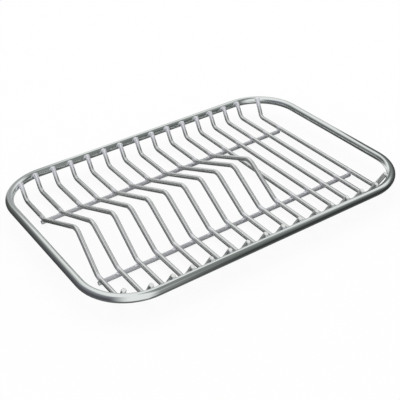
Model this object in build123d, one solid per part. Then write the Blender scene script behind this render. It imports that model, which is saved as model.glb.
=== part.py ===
from build123d import *
import os
from math import atan, copysign, cos, radians, sqrt, tan

# A welded wire rack: a rounded rim of thick rod, bent cross wires that hang from its
# inner side, and two straight support wires under them. Millimetres, +Z up. The origin
# is under the middle of the rim, at the underside of the support wires.

# Rim rod: sizes over the rod, and the corner bend to the rod's centre line.
rim_length = 420.0
rim_width = 290.0
rim_diameter = 10.0
rim_corner_radius = 58.0

# Wire stock, and the gap that stands for the weld where two wires meet.
cross_wire_diameter = 5.5
support_wire_diameter = 5.0
weld_gap = 0.1

# Cross wires along the rack: humped ones from the left, then as many flat ones as fit.
# The insets run from a side rail's centre line, and the last one is the least allowed.
humped_wire_count = 11
humped_wire_pitch = 23.6
flat_wire_pitch = 22.6
first_wire_inset = 28.0
last_wire_inset = 30.0

# Wire ends: the tray hangs below the rim, and each end rises and leans out to the rim.
# The front tips also turn aside to the right, and some, by wire number, less than the rest.
tray_drop = 15.0
tip_height = 5.0
end_lean = 27.0
end_bend_radius = 9.0
front_splay = 4.5
front_splays = {1: 0.0, 2: 2.5}

# The last wire's tips turn aside to the corner bends, and its rear end leans out further.
last_wire_rear_lean = 40.0
last_wire_rear_splay = 5.5
last_wire_front_splay = 5.5

# Support wires: distance between their centre lines, how far their middle lies towards
# the rear, and how far they pass the end wires.
support_spacing = 139.0
support_offset = -1.0
support_left_overhang = 3.0
support_right_overhang = 0.5

# Hump of the plate side, to the sharp bends before they are rounded.
hump_rise = 32.5
hump_peak_offset = -16.0
hump_foot_lead = 5.0
hump_foot_radius = 11.0
hump_top_radius = 14.0

# Humps that lean aside, by wire number: how far the peak lies to the right of its feet.
hump_sways = {1: 4.5, 3: 2.5}

# Sizes that follow from the ones above.
rim_radius = rim_diameter / 2
cross_wire_radius = cross_wire_diameter / 2
support_wire_radius = support_wire_diameter / 2
rim_half_length = rim_length / 2 - rim_radius
rim_half_width = rim_width / 2 - rim_radius
support_level = support_wire_radius
tray_level = support_wire_diameter + weld_gap + cross_wire_radius
rim_level = tray_level + tray_drop
end_clearance = rim_radius + cross_wire_radius + weld_gap
rear_support_place = support_offset + support_spacing / 2
front_support_place = support_offset - support_spacing / 2
hump_rear_foot = rear_support_place - hump_foot_lead
hump_front_foot = front_support_place + hump_foot_lead
humped_run = (humped_wire_count - 1) * humped_wire_pitch
flat_run = 2 * rim_half_length - first_wire_inset - humped_run - last_wire_inset
flat_wire_count = int(flat_run // flat_wire_pitch)
wire_count = humped_wire_count + flat_wire_count


def wire_place(index):
    # Distance of a cross wire from the middle of the rack, counted from the left.
    humped_steps = min(index, humped_wire_count - 1)
    flat_steps = index - humped_steps
    first = first_wire_inset - rim_half_length
    return first + humped_steps * humped_wire_pitch + flat_steps * flat_wire_pitch


def end_place(x, out_slope, side_slope):
    # Distance from the middle at which a leaning wire end passes the rim's middle height.
    past_straight = max(0, abs(x) - (rim_half_length - rim_corner_radius))
    reach = rim_corner_radius - end_clearance
    # On a corner bend the rim runs aslant, so only part of each slope is across the rod.
    for step in range(8):
        side_share = past_straight / reach
        out_share = sqrt(1 - side_share ** 2)
        lean_across = atan(out_slope * out_share + side_slope * side_share)
        reach = rim_corner_radius - end_clearance / cos(lean_across)
    return rim_half_width - rim_corner_radius + sqrt(reach ** 2 - past_straight ** 2)


def round_rod(path, radius):
    # A round rod swept along a centre line.
    return sweep(Plane(origin=path @ 0, z_dir=path % 0) * Circle(radius), path=path)


def wire_end(x, side, lean, splay):
    # Tip and bend of an end, at the rear (1) or front (-1), with its lean out and aside.
    out_slope = tan(radians(lean))
    side_slope = splay / (tray_drop + tip_height)
    y = end_place(x + side_slope * tray_drop, out_slope, copysign(side_slope, x * side_slope))
    tip = (x + splay, side * (y + tip_height * out_slope), rim_level + tip_height)
    bend = (x, side * (y - tray_drop * out_slope), tray_level)
    return tip, bend


def cross_wire(index):
    x = wire_place(index)
    rear_end = wire_end(x, 1, end_lean, 0)
    front_end = wire_end(x, -1, end_lean, front_splays.get(index + 1, front_splay))
    if index == wire_count - 1:
        rear_end = wire_end(x, 1, last_wire_rear_lean, last_wire_rear_splay)
        front_end = wire_end(x, -1, end_lean, last_wire_front_splay)
    hump = []
    hump_radii = []
    if index < humped_wire_count:
        peak_place = x + hump_sways.get(index + 1, 0)
        hump = [
            (x, hump_rear_foot, tray_level),
            (peak_place, hump_peak_offset, tray_level + hump_rise),
            (x, hump_front_foot, tray_level),
        ]
        hump_radii = [hump_foot_radius, hump_top_radius, hump_foot_radius]
    radii = [end_bend_radius] + hump_radii + [end_bend_radius]
    path = FilletPolyline(*rear_end, *hump, *reversed(front_end), radius=radii)
    return round_rod(path, cross_wire_radius)


def rim_frame():
    plane = Plane.XY.offset(rim_level)
    outline = plane * RectangleRounded(2 * rim_half_length, 2 * rim_half_width, rim_corner_radius)
    return round_rod(outline.face().outer_wire(), rim_radius)


def support_wire(y):
    start = wire_place(0) - support_left_overhang
    end = wire_place(wire_count - 1) + support_right_overhang
    rod = Plane.YZ * Cylinder(support_wire_radius, end - start)
    return Pos((start + end) / 2, y, support_level) * rod


os.makedirs("parts", exist_ok=True)
export_step(rim_frame(), "parts/rim_frame.step")
for number in range(wire_count):
    export_step(cross_wire(number), f"parts/cross_wire_{number + 1:02d}.step")
export_step(support_wire(rear_support_place), "parts/rear_support_wire.step")
export_step(support_wire(front_support_place), "parts/front_support_wire.step")
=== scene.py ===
import math
import random

import bmesh
import bpy
from mathutils import Matrix, Vector


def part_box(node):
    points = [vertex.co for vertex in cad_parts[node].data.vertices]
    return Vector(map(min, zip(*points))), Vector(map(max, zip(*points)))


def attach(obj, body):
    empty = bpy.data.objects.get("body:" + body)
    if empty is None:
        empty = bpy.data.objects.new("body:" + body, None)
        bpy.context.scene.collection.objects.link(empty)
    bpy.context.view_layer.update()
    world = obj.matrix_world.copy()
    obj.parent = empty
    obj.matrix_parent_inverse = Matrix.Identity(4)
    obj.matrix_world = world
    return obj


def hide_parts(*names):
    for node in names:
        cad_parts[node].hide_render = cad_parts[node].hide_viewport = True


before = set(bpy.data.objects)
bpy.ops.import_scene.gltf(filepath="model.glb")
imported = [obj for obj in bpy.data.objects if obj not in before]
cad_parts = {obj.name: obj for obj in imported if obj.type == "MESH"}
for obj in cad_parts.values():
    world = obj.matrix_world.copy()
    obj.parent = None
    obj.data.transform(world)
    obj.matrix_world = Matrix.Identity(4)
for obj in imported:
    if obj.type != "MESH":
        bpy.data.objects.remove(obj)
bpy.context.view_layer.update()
scene = bpy.context.scene
print("frame loaded,", len(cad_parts), "nodes")


# small helpers for node trees and mesh objects

def addNode(tree, kind, spot, **values):
    node = tree.nodes.new(kind)
    node.location = spot
    for name, value in values.items():
        setattr(node, name, value)
    return node


def link(tree, source, target):
    tree.links.new(source, target)


def addObject(name, bm, materials):
    mesh = bpy.data.meshes.new(name)
    bm.to_mesh(mesh)
    bm.free()
    for material in materials:
        mesh.materials.append(material)
    made = bpy.data.objects.new(name, mesh)
    scene.collection.objects.link(made)
    return made


# finishes: one shared group for the marks that drawing and polishing leave along a rod

markValues = {"lineScale": 1.0, "lineDetail": 3.0, "patchDetail": 2.0,
              "streaks": (0.3, 0.7), "bump": 0.35}


def makeDrawMarks():
    group = bpy.data.node_groups.new("drawMarks", "ShaderNodeTree")
    sockets = group.interface
    sockets.new_socket("Rod Point", in_out="INPUT", socket_type="NodeSocketVector")
    for name in ("Along", "Across", "Patch"):
        sockets.new_socket(name, in_out="INPUT", socket_type="NodeSocketFloat")
    sockets.new_socket("Streak", in_out="OUTPUT", socket_type="NodeSocketFloat")
    sockets.new_socket("Patchiness", in_out="OUTPUT", socket_type="NodeSocketFloat")
    inside = addNode(group, "NodeGroupInput", (-800, 0))
    outside = addNode(group, "NodeGroupOutput", (400, 0))
    stretch = addNode(group, "ShaderNodeCombineXYZ", (-600, -120))
    link(group, inside.outputs["Along"], stretch.inputs["X"])
    link(group, inside.outputs["Across"], stretch.inputs["Y"])
    link(group, inside.outputs["Across"], stretch.inputs["Z"])
    scaled = addNode(group, "ShaderNodeVectorMath", (-400, 0), operation="MULTIPLY")
    link(group, inside.outputs["Rod Point"], scaled.inputs[0])
    link(group, stretch.outputs["Vector"], scaled.inputs[1])
    lines = addNode(group, "ShaderNodeTexNoise", (-200, 100))
    lines.inputs["Scale"].default_value = markValues["lineScale"]
    lines.inputs["Detail"].default_value = markValues["lineDetail"]
    link(group, scaled.outputs["Vector"], lines.inputs["Vector"])
    patches = addNode(group, "ShaderNodeTexNoise", (-200, -200))
    patches.inputs["Detail"].default_value = markValues["patchDetail"]
    link(group, inside.outputs["Rod Point"], patches.inputs["Vector"])
    link(group, inside.outputs["Patch"], patches.inputs["Scale"])
    link(group, lines.outputs["Fac"], outside.inputs["Streak"])
    link(group, patches.outputs["Fac"], outside.inputs["Patchiness"])
    return group


drawMarks = makeDrawMarks()

finishValues = {
    "rim": {"dark": (0.69, 0.735, 0.72), "light": (0.77, 0.80, 0.785), "rough": (0.04, 0.09),
            "along": 18.0, "across": 700.0, "patch": 45.0, "depth": 0.00002},
    "wire": {"dark": (0.665, 0.68, 0.675), "light": (0.755, 0.77, 0.76), "rough": (0.18, 0.30),
             "along": 22.0, "across": 1100.0, "patch": 70.0, "depth": 0.00002,
             # the tip tone is a duller weld finish whose paler colour is partly a painted
             # highlight, at a wire's rear end and over the supports
             "metallic": 0.94, "tip": {"tone": (0.84, 0.84, 0.90), "rough": 0.42,
                                       "metallic": 0.45, "full": 0.15, "crossing": 0.5}},
    "support": {"dark": (0.47, 0.48, 0.505), "light": (0.54, 0.55, 0.575), "rough": (0.30, 0.42),
                "along": 22.0, "across": 1000.0, "patch": 60.0, "depth": 0.00003,
                "metallic": 0.55},
    "weld": {"dark": (0.78, 0.78, 0.82), "light": (0.90, 0.90, 0.94), "rough": (0.30, 0.45),
             "along": 500.0, "across": 500.0, "patch": 300.0, "depth": 0.00008, "metallic": 0.5},
    "cut": {"dark": (0.76, 0.77, 0.75), "light": (0.87, 0.88, 0.86), "rough": (0.40, 0.55),
            "along": 300.0, "across": 1600.0, "patch": 260.0, "depth": 0.00004, "metallic": 0.2},
}

# a wire's dull spot over a support, whose paler colour is a painted highlight: its distance from
# the support's middle line
crossingValues = {"full": 0.0015, "none": 0.0055}
crossingSpots = [(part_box(node)[0].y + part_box(node)[1].y) / 2
                 for node in ("rear_support_wire", "front_support_wire")]


def nearSupports(tree, strength):
    place = addNode(tree, "ShaderNodeTexCoord", (-1700, 800))
    parts = addNode(tree, "ShaderNodeSeparateXYZ", (-1500, 800))
    link(tree, place.outputs["Object"], parts.inputs["Vector"])
    distance = parts.outputs["Y"]
    middle = sum(crossingSpots) / 2
    for step, shift in enumerate((middle, crossingSpots[0] - middle)):
        away = addNode(tree, "ShaderNodeMath", (-1300 + 400 * step, 800), operation="SUBTRACT")
        away.inputs[1].default_value = shift
        link(tree, distance, away.inputs[0])
        size = addNode(tree, "ShaderNodeMath", (-1100 + 400 * step, 800), operation="ABSOLUTE")
        link(tree, away.outputs["Value"], size.inputs[0])
        distance = size.outputs["Value"]
    share = addNode(tree, "ShaderNodeMapRange", (-450, 800), interpolation_type="SMOOTHSTEP")
    share.inputs["From Min"].default_value = crossingValues["none"]
    share.inputs["From Max"].default_value = crossingValues["full"]
    share.inputs["To Max"].default_value = strength
    link(tree, distance, share.inputs["Value"])
    return share.outputs["Result"]


# weld spots turn duller and less metallic, and paler: the paler colour is partly a painted
# highlight
def dullTipsWithPaintedHighlight(tree, tip, colour, roughness, metallic):
    distance = addNode(tree, "ShaderNodeAttribute", (-750, 500), attribute_name="weldAndHighlightFade")
    share = addNode(tree, "ShaderNodeMapRange", (-500, 500), interpolation_type="SMOOTHSTEP")
    share.inputs["From Min"].default_value = 1.0
    share.inputs["From Max"].default_value = tip["full"]
    link(tree, distance.outputs["Fac"], share.inputs["Value"])
    either = addNode(tree, "ShaderNodeMath", (-350, 600), operation="MAXIMUM")
    link(tree, share.outputs["Result"], either.inputs[0])
    link(tree, nearSupports(tree, tip["crossing"]), either.inputs[1])
    paler = addNode(tree, "ShaderNodeMix", (-250, 300), data_type="RGBA")
    paler.inputs["B"].default_value = (*tip["tone"], 1.0)
    link(tree, either.outputs["Value"], paler.inputs["Factor"])
    link(tree, colour, paler.inputs["A"])
    duller = addNode(tree, "ShaderNodeMix", (-250, 50))
    duller.inputs["B"].default_value = tip["rough"]
    link(tree, either.outputs["Value"], duller.inputs["Factor"])
    link(tree, roughness, duller.inputs["A"])
    greyer = addNode(tree, "ShaderNodeMix", (-250, 550))
    greyer.inputs["A"].default_value = metallic
    greyer.inputs["B"].default_value = tip["metallic"]
    link(tree, either.outputs["Value"], greyer.inputs["Factor"])
    return paler.outputs["Result"], duller.outputs["Result"], greyer.outputs["Result"]


def makeFinish(name, onRod):
    values = finishValues[name]
    material = bpy.data.materials.new(name + "Finish")
    material.use_nodes = True
    tree = material.node_tree
    shader = tree.nodes["Principled BSDF"]
    shader.inputs["Metallic"].default_value = values.get("metallic", 1.0)
    if onRod:  # the straightened rod's own coordinates, kept on its points
        place = addNode(tree, "ShaderNodeAttribute", (-1100, 0), attribute_name="rodPoint")
        point = place.outputs["Vector"]
    else:
        place = addNode(tree, "ShaderNodeTexCoord", (-1100, 0))
        point = place.outputs["Object"]
    marks = addNode(tree, "ShaderNodeGroup", (-850, 0), node_tree=drawMarks)
    marks.inputs["Along"].default_value = values["along"]
    marks.inputs["Across"].default_value = values["across"]
    marks.inputs["Patch"].default_value = values["patch"]
    link(tree, point, marks.inputs["Rod Point"])
    tint = addNode(tree, "ShaderNodeMix", (-500, 200), data_type="RGBA")
    tint.inputs["A"].default_value = (*values["dark"], 1.0)
    tint.inputs["B"].default_value = (*values["light"], 1.0)
    link(tree, marks.outputs["Patchiness"], tint.inputs["Factor"])
    rough = addNode(tree, "ShaderNodeMapRange", (-500, -50))
    for end, streak, value in zip(("Min", "Max"), markValues["streaks"], values["rough"]):
        rough.inputs["From " + end].default_value = streak
        rough.inputs["To " + end].default_value = value
    link(tree, marks.outputs["Streak"], rough.inputs["Value"])
    colour = tint.outputs["Result"]
    roughness = rough.outputs["Result"]
    if "tip" in values:  # welding leaves a wire duller at its rear end and supports, and its paler tone there is partly a painted highlight
        colour, roughness, metallic = dullTipsWithPaintedHighlight(
            tree, values["tip"], colour, roughness, values["metallic"])
        link(tree, metallic, shader.inputs["Metallic"])
    link(tree, colour, shader.inputs["Base Color"])
    link(tree, roughness, shader.inputs["Roughness"])
    bump = addNode(tree, "ShaderNodeBump", (-300, -300))
    bump.inputs["Strength"].default_value = markValues["bump"]
    bump.inputs["Distance"].default_value = values["depth"]
    link(tree, marks.outputs["Streak"], bump.inputs["Height"])
    link(tree, bump.outputs["Normal"], shader.inputs["Normal"])
    return material


rimFinish = makeFinish("rim", True)
wireFinish = makeFinish("wire", True)
supportFinish = makeFinish("support", True)
weldFinish = makeFinish("weld", False)
cutFinish = makeFinish("cut", False)
print("finishes made")


# rods: a ring of points is pushed along each run and turned round each bend

rodValues = {"rimSides": 40, "wireSides": 24, "bendStep": math.radians(6),
             "wireEndRound": 0.22, "supportEndRound": 0.5, "endSegments": 5, "joinGap": 1e-6}


def growRing(bm, ring, travel):
    layer = bm.verts.layers.float_vector["rodPoint"]
    old = set(ring)
    edges = {edge for vert in ring for edge in vert.link_edges if edge.other_vert(vert) in old}
    made = bmesh.ops.extrude_edge_only(bm, edges=list(edges))["geom"]
    grown = [item for item in made if isinstance(item, bmesh.types.BMVert)]
    for vert in grown:
        source = next(e.other_vert(vert) for e in vert.link_edges if e.other_vert(vert) in old)
        vert[layer] = source[layer] + Vector((travel, 0, 0))
    return grown


def pushRing(bm, ring, shift):
    grown = growRing(bm, ring, shift.length)
    bmesh.ops.translate(bm, vec=shift, verts=grown)
    return grown


def turnRing(bm, ring, spot, axis, angle, radius):
    steps = max(2, math.ceil(angle / rodValues["bendStep"]))
    for step in range(steps):
        ring = growRing(bm, ring, radius * angle / steps)
        turn = Matrix.Rotation(angle / steps, 3, axis)
        bmesh.ops.rotate(bm, cent=spot, matrix=turn, verts=ring)
    return ring


def capRing(bm, ring, rounding):
    ends = set(ring)
    edges = [e for e in bm.edges if e.is_boundary and e.verts[0] in ends and e.verts[1] in ends]
    bmesh.ops.contextual_create(bm, geom=edges)
    return bmesh.ops.bevel(bm, geom=edges, offset=rounding, affect="EDGES", profile=0.5,
                           segments=rodValues["endSegments"], material=-1)["faces"]


def drawRod(points, bends, radius, sides, endRound=None, weldAndHighlightFade=None, firstEdge=0):
    # firstEdge is the material of the rounding at the first end, and flat ends take the second
    bm = bmesh.new()
    bm.verts.layers.float_vector.new("rodPoint")
    fade = bm.verts.layers.float.new("weldAndHighlightFade")
    layer = bm.verts.layers.float_vector["rodPoint"]
    heading = (points[1] - points[0]).normalized()
    ring = bmesh.ops.create_circle(bm, cap_ends=False, radius=radius, segments=sides)["verts"]
    for vert in ring:
        vert[layer] = (0, vert.co.x, vert.co.y)
    facing = Vector((0, 0, 1)).rotation_difference(heading).to_matrix()
    bmesh.ops.rotate(bm, cent=(0, 0, 0), matrix=facing, verts=ring)
    bmesh.ops.translate(bm, vec=points[0], verts=ring)
    first = list(ring)
    spot = points[0]
    for corner, after, bend in zip(points[1:-1], points[2:], bends):
        leaving = (after - corner).normalized()
        angle = heading.angle(leaving)
        tangent = bend * math.tan(angle / 2)
        axis = heading.cross(leaving).normalized()
        arcStart = corner - heading * tangent
        ring = pushRing(bm, ring, arcStart - spot)
        ring = turnRing(bm, ring, arcStart + axis.cross(heading) * bend, axis, angle, bend)
        spot = corner + leaving * tangent
        heading = leaving
    ring = pushRing(bm, ring, points[-1] - spot)
    if endRound is None:  # a closed loop
        bmesh.ops.remove_doubles(bm, verts=first + ring, dist=rodValues["joinGap"])
    else:
        for face in capRing(bm, first, radius * endRound):
            face.material_index = firstEdge
        capRing(bm, ring, radius * endRound)
    if weldAndHighlightFade:  # how far a point lies from the first end, for the dull tip and its painted highlight
        for vert in bm.verts:
            vert[fade] = vert[layer].x / weldAndHighlightFade
    bmesh.ops.recalc_face_normals(bm, faces=bm.faces)
    for face in bm.faces:
        flatEnd = len(face.verts) > 4
        face.smooth = not flatEnd
        if flatEnd:
            face.material_index = 1
    return bm


def addPiece(name, bm, materials, slotName, *nodes):
    piece = addObject(name, bm, materials)
    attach(piece, "root")
    if nodes:
        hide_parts(*nodes)


# the rim: one closed loop, its butt joint in the middle of the rear rail

rimValues = {"cornerRadius": 0.058}
rimLow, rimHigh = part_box("rim_frame")
rimRadius = (rimHigh.z - rimLow.z) / 2
rimLevel = (rimHigh.z + rimLow.z) / 2
rimHalfLength = rimHigh.x - rimRadius
rimHalfWidth = rimHigh.y - rimRadius


def drawRim():
    joint = Vector((0, rimHalfWidth, rimLevel))
    corners = [Vector((sx * rimHalfLength, sy * rimHalfWidth, rimLevel))
               for sx, sy in ((1, 1), (1, -1), (-1, -1), (-1, 1))]
    bends = [rimValues["cornerRadius"]] * len(corners)
    return drawRod([joint, *corners, joint], bends, rimRadius, rodValues["rimSides"])


addPiece("rimRod", drawRim(), [rimFinish], "rim_rod", "rim_frame")
print("rim drawn")


# the two support wires under the tray

supportPlace = {}


def drawSupport(node):
    low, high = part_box(node)
    radius = (high.z - low.z) / 2
    middle = (low + high) / 2
    supportPlace[node] = middle
    ends = [Vector((x, middle.y, middle.z)) for x in (low.x, high.x)]
    return drawRod(ends, [], radius, rodValues["wireSides"], rodValues["supportEndRound"],
                   firstEdge=2)


for node in ("rear_support_wire", "front_support_wire"):
    rod = drawSupport(node)
    addPiece(node + "Rod", rod, [supportFinish, cutFinish, rimFinish], "wire", node)
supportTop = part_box("rear_support_wire")[1].z
print("support wires drawn")


# the cross wires: ends that rise and lean out to the rim, and a hump on most of them

wireValues = {"diameter": 0.0055, "tipRise": 0.005, "endBend": 0.009,
              "lean": math.radians(27), "frontSplay": 0.0045,
              "frontSplays": {"cross_wire_01": 0.0, "cross_wire_02": 0.0025},
              "lastRearLean": math.radians(40),
              "lastRearSplay": 0.0055, "lastFrontSplay": 0.0055, "weldAndHighlightFade": 0.019}
humpValues = {"rise": 0.0325, "peakPlace": -0.016, "footLead": 0.005, "footBend": 0.011,
              "topBend": 0.014, "sways": {"cross_wire_01": 0.0045, "cross_wire_03": 0.0025}}
crossNodes = sorted(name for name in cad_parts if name.startswith("cross_wire_"))
wireRadius = wireValues["diameter"] / 2
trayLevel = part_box(crossNodes[1])[0].z + wireRadius
tipLevel = rimLevel + wireValues["tipRise"]


def endPoints(x, reach, side, lean, splay):
    # tip and bend of one end: the box says how far the tip reaches
    lift = tipLevel - trayLevel
    run = lift * math.tan(lean)
    rising = Vector((splay, run, lift)).normalized()
    tip = reach - wireRadius * math.sqrt(1 - rising.y ** 2)
    return [Vector((x + splay, side * tip, tipLevel)), Vector((x, side * (tip - run), trayLevel))]


def humpPoints(x, sway):
    rearFoot = supportPlace["rear_support_wire"].y - humpValues["footLead"]
    frontFoot = supportPlace["front_support_wire"].y + humpValues["footLead"]
    peak = Vector((x + sway, humpValues["peakPlace"], trayLevel + humpValues["rise"]))
    return [Vector((x, rearFoot, trayLevel)), peak, Vector((x, frontFoot, trayLevel))]


def crossWirePoints(node):
    low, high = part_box(node)
    x = low.x + wireRadius
    lean = wireValues["lean"]
    if node == crossNodes[-1]:  # its tips turn aside to the corner bends
        rear = endPoints(x, high.y, 1, wireValues["lastRearLean"], wireValues["lastRearSplay"])
        front = endPoints(x, -low.y, -1, lean, wireValues["lastFrontSplay"])
    else:
        rear = endPoints(x, high.y, 1, lean, 0)
        splay = wireValues["frontSplays"].get(node, wireValues["frontSplay"])
        front = endPoints(x, -low.y, -1, lean, splay)
    humped = high.z > tipLevel + 2 * wireRadius
    hump = humpPoints(x, humpValues["sways"].get(node, 0)) if humped else []
    return rear + hump + front[::-1]


def bendsOf(points):
    ends = [wireValues["endBend"]]
    if len(points) == 4:
        return ends + ends
    return ends + [humpValues["footBend"], humpValues["topBend"], humpValues["footBend"]] + ends


wirePaths = {node: crossWirePoints(node) for node in crossNodes}
for node, points in wirePaths.items():
    rod = drawRod(points, bendsOf(points), wireRadius, rodValues["wireSides"],
                  rodValues["wireEndRound"], wireValues["weldAndHighlightFade"])
    addPiece(node + "Rod", rod, [wireFinish, cutFinish], "wire", node)
print("cross wires drawn:", len(wirePaths))


# welds: small flat nuggets where a wire meets a support or the rim

weldValues = {"support": (0.0042, 0.0019, 0.0010), "supportLead": -0.0018,
              "endSupport": (0.0024, 0.0022, 0.0006), "rim": (0.0031, 0.0006, 0.0024),
              "spread": 0.15, "seed": 11}


def addNugget(bm, spot, facing, size, dice):
    made = bmesh.ops.create_icosphere(bm, subdivisions=3, radius=1.0)["verts"]
    sizes = [value * (1 + dice.uniform(-1, 1) * weldValues["spread"]) for value in size]
    bmesh.ops.scale(bm, vec=sizes, verts=made)
    bmesh.ops.rotate(bm, cent=(0, 0, 0), matrix=facing, verts=made)
    bmesh.ops.translate(bm, vec=spot, verts=made)


def rimPointNear(spot):
    # nearest point on the rim's centre line, on a straight rail or on a corner bend
    straightX = rimHalfLength - rimValues["cornerRadius"]
    straightY = rimHalfWidth - rimValues["cornerRadius"]
    turnX = max(-straightX, min(straightX, spot.x))
    turn = Vector((turnX, math.copysign(straightY, spot.y), rimLevel))
    out = Vector((spot.x - turn.x, spot.y - turn.y, 0)).normalized()
    return turn + out * rimValues["cornerRadius"]


def drawWelds():
    dice = random.Random(weldValues["seed"])
    onSupports = bmesh.new()
    onRim = bmesh.new()
    for node, points in wirePaths.items():
        atEnd = node == crossNodes[0]  # the support wires hardly pass the first wire
        size = weldValues["endSupport" if atEnd else "support"]
        lead = 0 if atEnd else weldValues["supportLead"]
        for middle in supportPlace.values():
            spot = Vector((points[1].x + lead, middle.y, supportTop))
            addNugget(onSupports, spot, Matrix.Identity(3), size, dice)
        for tip, bend in ((points[0], points[1]), (points[-1], points[-2])):
            rising = (tip - bend).normalized()
            anchor = rimPointNear(tip)
            touch = bend + rising * (anchor - bend).dot(rising)
            across = (touch - anchor).normalized()
            spot = anchor + across * rimRadius
            facing = Matrix((rising.cross(across), across, rising)).transposed()
            addNugget(onRim, spot, facing, weldValues["rim"], dice)
    for bm in (onSupports, onRim):
        for face in bm.faces:
            face.smooth = True
    addPiece("supportWelds", onSupports, [weldFinish], "wire")
    addPiece("rimWelds", onRim, [weldFinish], "wire")


drawWelds()
print("welds added")


# stage: pale floor, white surroundings, feathered dark cards that only the metal sees

floorValues = {"half": 15.0, "tone": 0.93, "rough": 0.9, "glow": 0.88}


def makeFloor():
    bm = bmesh.new()
    bmesh.ops.create_grid(bm, x_segments=1, y_segments=1, size=floorValues["half"])
    material = bpy.data.materials.new("paleFloor")
    material.use_nodes = True
    tree = material.node_tree
    shader = tree.nodes["Principled BSDF"]
    shader.inputs["Base Color"].default_value = (*[floorValues["tone"]] * 3, 1.0)
    shader.inputs["Roughness"].default_value = floorValues["rough"]
    shader.inputs["Specular IOR Level"].default_value = 0.0
    glow = addNode(tree, "ShaderNodeEmission", (0, -300))
    rays = addNode(tree, "ShaderNodeLightPath", (-400, 300))
    share = addNode(tree, "ShaderNodeMath", (-150, 300), operation="MULTIPLY")
    share.inputs[1].default_value = floorValues["glow"]
    link(tree, rays.outputs["Is Camera Ray"], share.inputs[0])
    mix = addNode(tree, "ShaderNodeMixShader", (300, 100))
    link(tree, share.outputs["Value"], mix.inputs["Fac"])
    link(tree, shader.outputs["BSDF"], mix.inputs[1])
    link(tree, glow.outputs["Emission"], mix.inputs[2])
    link(tree, mix.outputs["Shader"], tree.nodes["Material Output"].inputs["Surface"])
    floor = addObject("floor", bm, [material])
    floor.visible_glossy = False


# each card is a patch of a sphere: bounds and feathered edges in degrees, azimuth from
# the rear (+Y) towards the right (+X), and its grey at a few elevations; two small ones
# stand near the rim's corners, and the rest stand round the whole rack
sphereValues = {"radius": 2.0, "step": 0.04}
cardValues = {
    "leftCard": {"azimuth": (-147, -30), "azimuthFeather": (36, 24), "elevation": (-70, 68),
                 "elevationFeather": (18, 24), "cells": (64, 64), "tint": (0.97, 0.97, 1.08),
                 "tones": ((-60, 0.20), (-40, 0.12), (-10, 0.09), (5, 0.12), (25, 0.20),
                           (45, 0.30), (68, 0.55))},
    "rearLeftCard": {"azimuth": (-75, 10), "azimuthFeather": (24, 30), "elevation": (-70, 60),
                     "elevationFeather": (18, 34), "cells": (48, 64), "tint": (0.95, 1.0, 0.94),
                     "tones": ((-60, 0.05), (-30, 0.05), (5, 0.09), (20, 0.14), (60, 0.30))},
    "rightLowCard": {"azimuth": (50, 190), "azimuthFeather": (34, 38), "elevation": (-70, 34),
                     "elevationFeather": (18, 26), "cells": (64, 64), "tint": (0.93, 1.0, 0.96),
                     "tones": ((-60, 0.15), (-30, 0.06), (-10, 0.04), (5, 0.055), (20, 0.10),
                               (40, 0.18))},
    "rightHighCard": {"azimuth": (90, 180), "azimuthFeather": (40, 32), "elevation": (-4, 86),
                      "elevationFeather": (24, 18), "cells": (64, 48), "tint": (0.93, 1.0, 0.96),
                      "tones": ((-4, 0.08), (30, 0.17), (60, 0.26), (86, 0.45))},
    "rearRightCard": {"azimuth": (8, 95), "azimuthFeather": (26, 30), "elevation": (-40, 48),
                      "elevationFeather": (20, 36), "cells": (48, 64), "tint": (0.98, 1.0, 0.98),
                      "tones": ((-40, 0.45), (0, 0.55), (30, 0.68), (48, 0.8))},
    "topCard": {"azimuth": (30, 150), "azimuthFeather": (30, 25), "elevation": (49, 89),
                "elevationFeather": (14, 0.01), "cells": (48, 24), "tint": (0.96, 1.0, 0.97),
                "tones": ((52, 0.25), (89, 0.25))},
    "rearCornerCard": {"azimuth": (-20, 74), "azimuthFeather": (24, 36), "elevation": (-10, 60),
                       "elevationFeather": (24, 18), "cells": (40, 40), "tint": (0.98, 0.98, 1.0),
                       "tones": ((-20, 0.48), (58, 0.44)),
                       "middle": (-0.188, 0.123, 0.023), "radius": 0.12},
    "frontCornerCard": {"azimuth": (12, 125), "azimuthFeather": (14, 30), "elevation": (-45, 48),
                        "elevationFeather": (15, 16), "cells": (40, 40), "tint": (0.93, 1.0, 0.96),
                        "tones": ((-45, 0.06), (10, 0.08), (30, 0.22), (48, 0.45)),
                        "middle": (0.188, -0.123, 0.023), "radius": 0.14},
    "floorCard": {"azimuth": (-180, 180), "azimuthFeather": (0.01, 0.01), "elevation": (-89, -30),
                  "elevationFeather": (0.01, 25), "cells": (90, 24), "tint": (0.96, 1.0, 0.96),
                  "tones": ((-89, 0.15), (-30, 0.15))},
}


def easeBetween(value, low, high):
    share = max(0.0, min(1.0, (value - low) / (high - low)))
    return share * share * (3 - 2 * share)


def toneAt(tones, elevation):
    for (low, lowTone), (high, highTone) in zip(tones, tones[1:]):
        if elevation <= high:
            share = max(0.0, (elevation - low) / (high - low))
            return lowTone + (highTone - lowTone) * share
    return tones[-1][1]


def feather(value, bounds, widths):
    fadeIn = easeBetween(value, bounds[0], bounds[0] + widths[0])
    fadeOut = 1 - easeBetween(value, bounds[1] - widths[1], bounds[1])
    return fadeIn * fadeOut


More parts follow.
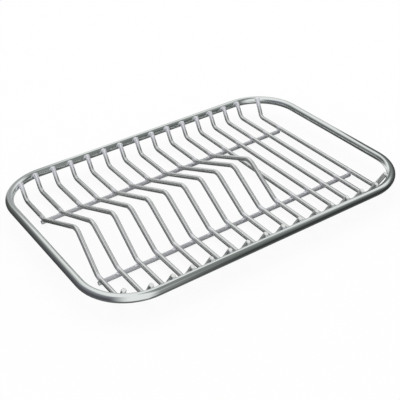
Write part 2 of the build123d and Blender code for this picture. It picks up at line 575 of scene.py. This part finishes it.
def makeCard(name, radius):
    values = cardValues[name]
    radius = values.get("radius", radius)
    middle = Vector(values.get("middle", (0, 0, 0)))
    bm = bmesh.new()
    layer = bm.verts.layers.float_color.new("cardTone")
    columns, rows = values["cells"]
    bmesh.ops.create_grid(bm, x_segments=columns, y_segments=rows, size=0.5)
    (left, right), (low, high) = values["azimuth"], values["elevation"]
    for vert in bm.verts:
        azimuth = left + (right - left) * (vert.co.x + 0.5)
        elevation = low + (high - low) * (vert.co.y + 0.5)
        tone = toneAt(values["tones"], elevation)
        cover = feather(azimuth, values["azimuth"], values["azimuthFeather"])
        cover *= feather(elevation, values["elevation"], values["elevationFeather"])
        vert[layer] = (*[tone * share for share in values["tint"]], cover)
        side, lift = math.radians(azimuth), math.radians(elevation)
        vert.co = middle + radius * Vector((
            math.sin(side) * math.cos(lift), math.cos(side) * math.cos(lift), math.sin(lift)))
    material = bpy.data.materials.new(name + "Tone")
    material.use_nodes = True
    tree = material.node_tree
    tree.nodes.remove(tree.nodes["Principled BSDF"])
    tone = addNode(tree, "ShaderNodeAttribute", (-500, 0), attribute_name="cardTone")
    glow = addNode(tree, "ShaderNodeEmission", (-200, -100))
    clear = addNode(tree, "ShaderNodeBsdfTransparent", (-200, 100))
    mix = addNode(tree, "ShaderNodeMixShader", (50, 0))
    link(tree, tone.outputs["Color"], glow.inputs["Color"])
    link(tree, tone.outputs["Alpha"], mix.inputs["Fac"])
    link(tree, clear.outputs["BSDF"], mix.inputs[1])
    link(tree, glow.outputs["Emission"], mix.inputs[2])
    link(tree, mix.outputs["Shader"], tree.nodes["Material Output"].inputs["Surface"])
    card = addObject(name, bm, [material])
    card.visible_camera = False
    card.visible_diffuse = False
    card.visible_shadow = False


worldValues = {"tone": (1.0, 1.0, 1.0, 1.0), "fill": 0.9, "seen": 1.0}


def makeSurroundings():
    world = bpy.data.worlds.new("whiteStudio")
    scene.world = world
    world.use_nodes = True
    tree = world.node_tree
    fill = tree.nodes["Background"]
    fill.inputs["Color"].default_value = worldValues["tone"]
    fill.inputs["Strength"].default_value = worldValues["fill"]
    white = addNode(tree, "ShaderNodeBackground", (0, -200))
    white.inputs["Color"].default_value = worldValues["tone"]
    white.inputs["Strength"].default_value = worldValues["seen"]
    rays = addNode(tree, "ShaderNodeLightPath", (-600, 300))
    seen = addNode(tree, "ShaderNodeMath", (-350, 300), operation="MAXIMUM")
    link(tree, rays.outputs["Is Camera Ray"], seen.inputs[0])
    link(tree, rays.outputs["Is Glossy Ray"], seen.inputs[1])
    through = addNode(tree, "ShaderNodeMath", (-150, 300), operation="MAXIMUM")
    link(tree, seen.outputs["Value"], through.inputs[0])
    link(tree, rays.outputs["Is Transmission Ray"], through.inputs[1])
    mix = addNode(tree, "ShaderNodeMixShader", (200, 0))
    link(tree, through.outputs["Value"], mix.inputs["Fac"])
    link(tree, fill.outputs["Background"], mix.inputs[1])
    link(tree, white.outputs["Background"], mix.inputs[2])
    link(tree, mix.outputs["Shader"], tree.nodes["World Output"].inputs["Surface"])


lampValues = {"size": 2.4, "height": 2.2, "power": 10.0, "place": (0.5, 0.6)}


def makeLamp():
    data = bpy.data.lights.new("softbox", "AREA")
    data.shape = "DISK"
    data.size = lampValues["size"]
    data.energy = lampValues["power"]
    lamp = bpy.data.objects.new("softbox", data)
    lamp.location = (*lampValues["place"], lampValues["height"])
    aim = Vector((0, 0, rimLevel)) - lamp.location
    lamp.rotation_euler = aim.to_track_quat("-Z", "Y").to_euler()
    lamp.visible_glossy = False
    scene.collection.objects.link(lamp)


makeFloor()
for order, cardName in enumerate(cardValues):
    makeCard(cardName, sphereValues["radius"] + order * sphereValues["step"])
makeSurroundings()
makeLamp()
scene.view_settings.view_transform = "Standard"
print("stage set")


# camera at the photograph's angle, its focal length in picture widths

cameraValues = {"azimuth": math.radians(-32.64), "elevation": math.radians(33.6),
                "roll": math.radians(-2.71), "distance": 0.9633, "aim": (-0.0232, -0.0306),
                "focalPixels": 838.3, "framePixels": 400, "sensor": 36.0,
                "clip": (0.01, 100.0)}


def makeCamera():
    data = bpy.data.cameras.new("camera")
    data.sensor_width = cameraValues["sensor"]
    data.lens = cameraValues["focalPixels"] / cameraValues["framePixels"] * cameraValues["sensor"]
    data.clip_start, data.clip_end = cameraValues["clip"]
    camera = bpy.data.objects.new("camera", data)
    scene.collection.objects.link(camera)
    azimuth, elevation = cameraValues["azimuth"], cameraValues["elevation"]
    back = Vector((math.sin(azimuth) * math.cos(elevation),
                   -math.cos(azimuth) * math.cos(elevation), math.sin(elevation)))
    right = Vector((math.cos(azimuth), math.sin(azimuth), 0))
    turn = Matrix((right, back.cross(right), back)).transposed()
    turn = turn @ Matrix.Rotation(cameraValues["roll"], 3, "Z")
    aim = Vector((*cameraValues["aim"], rimLevel))
    camera.matrix_world = Matrix.LocRotScale(aim + back * cameraValues["distance"], turn, None)
    scene.camera = camera


makeCamera()
print("camera placed")
